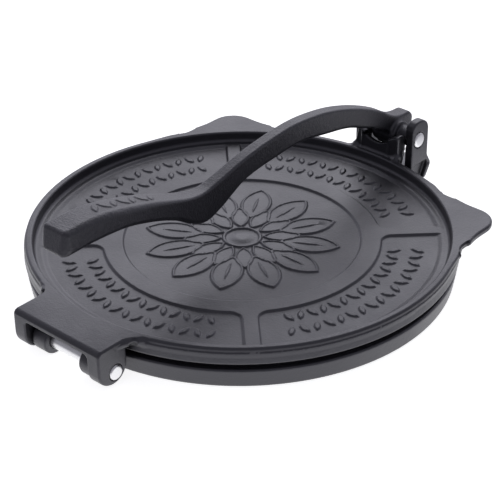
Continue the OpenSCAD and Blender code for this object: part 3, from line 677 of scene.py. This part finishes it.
def pin(node, name, y, z, radius, half, body):
    """Turned steel pin with a softly domed, chamfered end"""
    fit = radius - PIN_FIT
    side = [(fit * r, half - s) for r, s in PIN_DOME] + [(fit, half - PIN_END)]
    profile = side + [(fit, 0.0)] + [(r, -s) for r, s in reversed(side)]
    verts, faces = [], []
    for i in range(PIN_TURNS):
        a = 2 * math.pi * i / PIN_TURNS
        for r, s in profile[1:-1]:
            across, up = y - MID_Y + r * math.cos(a), z + r * math.sin(a)
            verts.append((s * MM, across * MM, up * MM))
    ring = len(profile) - 2
    verts += [(end * MM, (y - MID_Y) * MM, z * MM) for end in (half, -half)]
    top, low = len(verts) - 2, len(verts) - 1
    for i in range(PIN_TURNS):
        a, b = i * ring, ((i + 1) % PIN_TURNS) * ring
        faces.append((top, a, b))
        faces += [(a + k, a + k + 1, b + k + 1, b + k) for k in range(ring - 1)]
        faces.append((low, b + ring - 1, a + ring - 1))
    mesh = bpy.data.meshes.new(name)
    mesh.from_pydata(verts, [], faces)
    mesh.polygons.foreach_set("use_smooth", [True] * len(mesh.polygons))
    obj = bpy.data.objects.new(name, mesh)
    scene.collection.objects.link(obj)
    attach(obj, body)
    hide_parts(node)
    return obj


# Materials. Noise scales are counted per metre, and depths of bumps in metres
GRAIN_SCALE, LUMP_SCALE, PATCH_SCALE, TURNING_SCALE = 1050.0, 420.0, 34.0, 2600.0
IRON_DARK, IRON_LIGHT = (0.007, 0.007, 0.009, 1), (0.020, 0.020, 0.024, 1)
IRON_TINT, IRON_ROUGH = (0.92, 0.915, 1.0, 1), (0.34, 0.44)
PLATE_LUMPS, PLATE_GRAIN, LEVER_LUMPS, LEVER_GRAIN = 0.0002, 0.0002, 0.0004, 0.0006
STEEL_DARK, STEEL_LIGHT = (0.66, 0.66, 0.67, 1), (0.9, 0.9, 0.91, 1)
STEEL_ROUGH = (0.22, 0.42)


def new_material(name):
    mat = bpy.data.materials.new(name)
    mat.use_nodes = True
    tree = mat.node_tree
    return mat, tree, tree.nodes["Principled BSDF"]


def add_node(tree, kind, inputs=None, **settings):
    """A new node, with its settings made before its inputs are set or linked"""
    n = tree.nodes.new(kind)
    for key, value in settings.items():
        setattr(n, key, value)
    for key, value in (inputs or {}).items():
        if isinstance(value, bpy.types.NodeSocket):
            tree.links.new(value, n.inputs[key])
        else:
            n.inputs[key].default_value = value
    return n


def noise(tree, scale, detail, roughness=0.5):
    where = add_node(tree, "ShaderNodeTexCoord").outputs["Object"]
    inputs = {"Vector": where, "Scale": scale, "Detail": detail, "Roughness": roughness}
    return add_node(tree, "ShaderNodeTexNoise", inputs).outputs["Fac"]


def mapped(tree, value, source, result, **settings):
    """The value carried over from one range to another"""
    (low, high), (new_low, new_high) = source, result
    inputs = {"Value": value, "From Min": low, "From Max": high}
    inputs.update({"To Min": new_low, "To Max": new_high})
    return add_node(tree, "ShaderNodeMapRange", inputs, **settings).outputs[0]


def mixed(tree, factor, a, b, kind="RGBA"):
    """From a at factor 0 to b at factor 1"""
    inputs = {"Factor": factor, "A": a, "B": b}
    return add_node(tree, "ShaderNodeMix", inputs, data_type=kind).outputs["Result"]


def bumped(tree, height, strength, depth, **under):
    """Normal of a bump, over another where one is given"""
    inputs = {"Strength": strength, "Distance": depth, "Height": height, **under}
    return add_node(tree, "ShaderNodeBump", inputs).outputs["Normal"]


def iron_material(name, lump_depth, grain_depth):
    """Oiled black cast iron: sand grain, slow patches of sheen and colour"""
    mat, tree, shader = new_material(name)
    grain = noise(tree, GRAIN_SCALE, 3.0, 0.65)
    lumps = noise(tree, LUMP_SCALE, 4.0, 0.55)
    patches = noise(tree, PATCH_SCALE, 5.0, 0.6)
    colour = mixed(tree, patches, IRON_DARK, IRON_LIGHT)
    tree.links.new(colour, shader.inputs["Base Color"])
    sheen = mapped(tree, patches, (0.3, 0.7), IRON_ROUGH)
    tree.links.new(sheen, shader.inputs["Roughness"])
    under = bumped(tree, lumps, 0.4, lump_depth)
    bump = bumped(tree, grain, 0.5, grain_depth, Normal=under)
    tree.links.new(bump, shader.inputs["Normal"])
    shader.inputs["Specular IOR Level"].default_value = 0.9
    shader.inputs["Specular Tint"].default_value = IRON_TINT
    return mat


def steel_material():
    """Bright drawn steel, with faint turning marks"""
    mat, tree, shader = new_material("steel_bright")
    marks = noise(tree, TURNING_SCALE, 2.0)
    tree.links.new(mixed(tree, marks, STEEL_DARK, STEEL_LIGHT), shader.inputs["Base Color"])
    shader.inputs["Metallic"].default_value = 1.0
    tree.links.new(mapped(tree, marks, (0.0, 1.0), STEEL_ROUGH), shader.inputs["Roughness"])
    tree.links.new(bumped(tree, marks, 0.15, 0.0001), shader.inputs["Normal"])
    return mat


# Camera, fitted to the photograph. Its place is counted from the plates' centre, in metres
CAMERA_AT = (0.451736, -0.492983, 0.409177)
CAMERA_RIGHT = (0.74382763, 0.6683328, -0.00719169)
CAMERA_UP = (-0.3394495, 0.38701896, 0.85731579)
CAMERA_FORWARD = (-0.57575558, 0.63525396, -0.51474063)
CAMERA_SENSOR, CAMERA_LENS = 36.0, 118.69
# Floor: its size in metres, its glow to the camera, and its glow in reflections, which fades
# with the distance from the press
FLOOR_R, FLOOR_SIDES, FLOOR_Z = 3.0, 96, -0.0002
FLOOR_FILL, FLOOR_GLOSS, FLOOR_FAR, FLOOR_FADE = 0.84, 1.0, 0.08, (0.115, 0.19)
# World: strengths overhead, at the horizon and, added low down, behind the press
WORLD_TOP, WORLD_HORIZON, WORLD_BACK = 0.36, 0.22, 0.80
WORLD_COLOUR, WHITE = (0.90, 0.89, 1.0, 1), (1, 1, 1, 1)
BEHIND = (-0.67, 0.74, 0.0)
# Lamp: place and width in metres, and power in watts
LAMP_AT, LAMP_W, LAMP_POWER = (-0.9, 1.1, 1.0), 1.2, 4


def add_camera():
    data = bpy.data.cameras.new("camera")
    data.sensor_width, data.lens = CAMERA_SENSOR, CAMERA_LENS
    data.clip_start, data.clip_end = 0.05, 20.0
    cam = bpy.data.objects.new("camera", data)
    scene.collection.objects.link(cam)
    right, up, forward = Vector(CAMERA_RIGHT), Vector(CAMERA_UP), Vector(CAMERA_FORWARD)
    turn = Matrix((right, up, -forward)).transposed()
    x, y, z = CAMERA_AT
    cam.matrix_world = Matrix.Translation((x, y - MID_Y * MM, z)) @ turn.to_4x4()
    scene.camera = cam


def add_floor():
    mesh = bpy.data.meshes.new("floor")
    angles = [2 * math.pi * i / FLOOR_SIDES for i in range(FLOOR_SIDES)]
    verts = [(FLOOR_R * math.cos(a), FLOOR_R * math.sin(a), FLOOR_Z) for a in angles]
    mesh.from_pydata(verts, [], [tuple(range(FLOOR_SIDES))])
    floor = bpy.data.objects.new("floor", mesh)
    scene.collection.objects.link(floor)
    mat, tree, shader = new_material("floor_white")
    shader.inputs["Base Color"].default_value = (0.86, 0.86, 0.86, 1)
    shader.inputs["Roughness"].default_value = 0.9
    shader.inputs["Specular IOR Level"].default_value = 0.1
    # The camera and reflections see it nearly white, with the object's soft shadow left in
    path = add_node(tree, "ShaderNodeLightPath").outputs
    where = add_node(tree, "ShaderNodeTexCoord").outputs["Object"]
    away = add_node(tree, "ShaderNodeVectorMath", {0: where}, operation="LENGTH")
    gloss = mapped(
        tree, away.outputs["Value"], FLOOR_FADE, (FLOOR_GLOSS, FLOOR_FAR),
        interpolation_type="SMOOTHSTEP",
    )
    inputs = {0: path["Is Glossy Ray"], 1: gloss}
    gloss = add_node(tree, "ShaderNodeMath", inputs, operation="MULTIPLY").outputs[0]
    inputs = {0: path["Is Camera Ray"], 1: FLOOR_FILL, 2: gloss}
    fill = add_node(tree, "ShaderNodeMath", inputs, operation="MULTIPLY_ADD").outputs[0]
    glow = add_node(tree, "ShaderNodeEmission", {"Strength": fill})
    total = add_node(tree, "ShaderNodeAddShader", {0: shader.outputs[0], 1: glow.outputs[0]})
    tree.links.new(total.outputs[0], tree.nodes["Material Output"].inputs["Surface"])
    mesh.materials.append(mat)


def add_world():
    """White to the camera. Its light comes from low behind the press, and less from overhead"""
    world = bpy.data.worlds.new("studio")
    scene.world = world
    world.use_nodes = True
    tree = world.node_tree
    tree.nodes.clear()
    way = add_node(tree, "ShaderNodeTexCoord").outputs["Generated"]
    back = add_node(tree, "ShaderNodeVectorMath", {0: way, 1: BEHIND}, operation="DOT_PRODUCT")
    height = add_node(tree, "ShaderNodeSeparateXYZ", {0: way}).outputs["Z"]

    def step(value, source, result):
        return mapped(tree, value, source, result, interpolation_type="SMOOTHSTEP")

    behind = step(back.outputs["Value"], (0.1, 0.85), (0.0, WORLD_BACK))
    low = step(height, (0.5, 0.85), (1.0, 0.0))
    rim = step(height, (0.05, 0.5), (WORLD_HORIZON, WORLD_TOP))
    inputs = {0: behind, 1: low, 2: rim}
    level = add_node(tree, "ShaderNodeMath", inputs, operation="MULTIPLY_ADD").outputs[0]
    seen = add_node(tree, "ShaderNodeLightPath").outputs["Is Camera Ray"]
    level = mixed(tree, seen, level, 1.0, kind="FLOAT")
    tint = mixed(tree, seen, WORLD_COLOUR, WHITE)
    sky = add_node(tree, "ShaderNodeBackground", {"Color": tint, "Strength": level})
    out = tree.nodes.new("ShaderNodeOutputWorld")
    tree.links.new(sky.outputs["Background"], out.inputs["Surface"])


def add_lamp(name, place, target, size, power):
    """Round soft lamp"""
    data = bpy.data.lights.new(name, "AREA")
    data.shape, data.size, data.energy = "DISK", size, power
    lamp = bpy.data.objects.new(name, data)
    lamp.location = place
    lamp.rotation_mode = "QUATERNION"
    lamp.rotation_quaternion = (Vector(target) - Vector(place)).to_track_quat("-Z", "Y")
    scene.collection.objects.link(lamp)


add_camera()
plate_iron = iron_material("cast_iron_black", PLATE_LUMPS, PLATE_GRAIN)
lever_iron = iron_material("cast_iron_sandy", LEVER_LUMPS, LEVER_GRAIN)
steel = steel_material()
made = [
    casting("base_plate", "base_casting", base_shape, "base"),
    casting("top_plate", "top_casting", top_shape, "lid"),
    casting("lever", "lever_casting", lever_shape, "arm"),
]
for obj, iron in zip(made, (plate_iron, plate_iron, lever_iron)):
    obj.data.materials.clear()
    obj.data.materials.append(iron)
hinge_half, lever_half = CHEEK_X + PIN_PROUD, EAR_OUT + PIN_PROUD
for obj in (
    pin("hinge_pin", "hinge_pin_steel", HINGE_Y, HINGE_Z, HINGE_PIN_R, hinge_half, "lid"),
    pin("lever_pin", "lever_pin_steel", LEVER_Y, LEVER_Z, LEVER_PIN_R, lever_half, "base"),
):
    obj.data.materials.append(steel)
add_floor()
add_world()
add_lamp("soft_back", LAMP_AT, (0, 0, 0), LAMP_W, LAMP_POWER)
scene.view_settings.view_transform = "Standard"
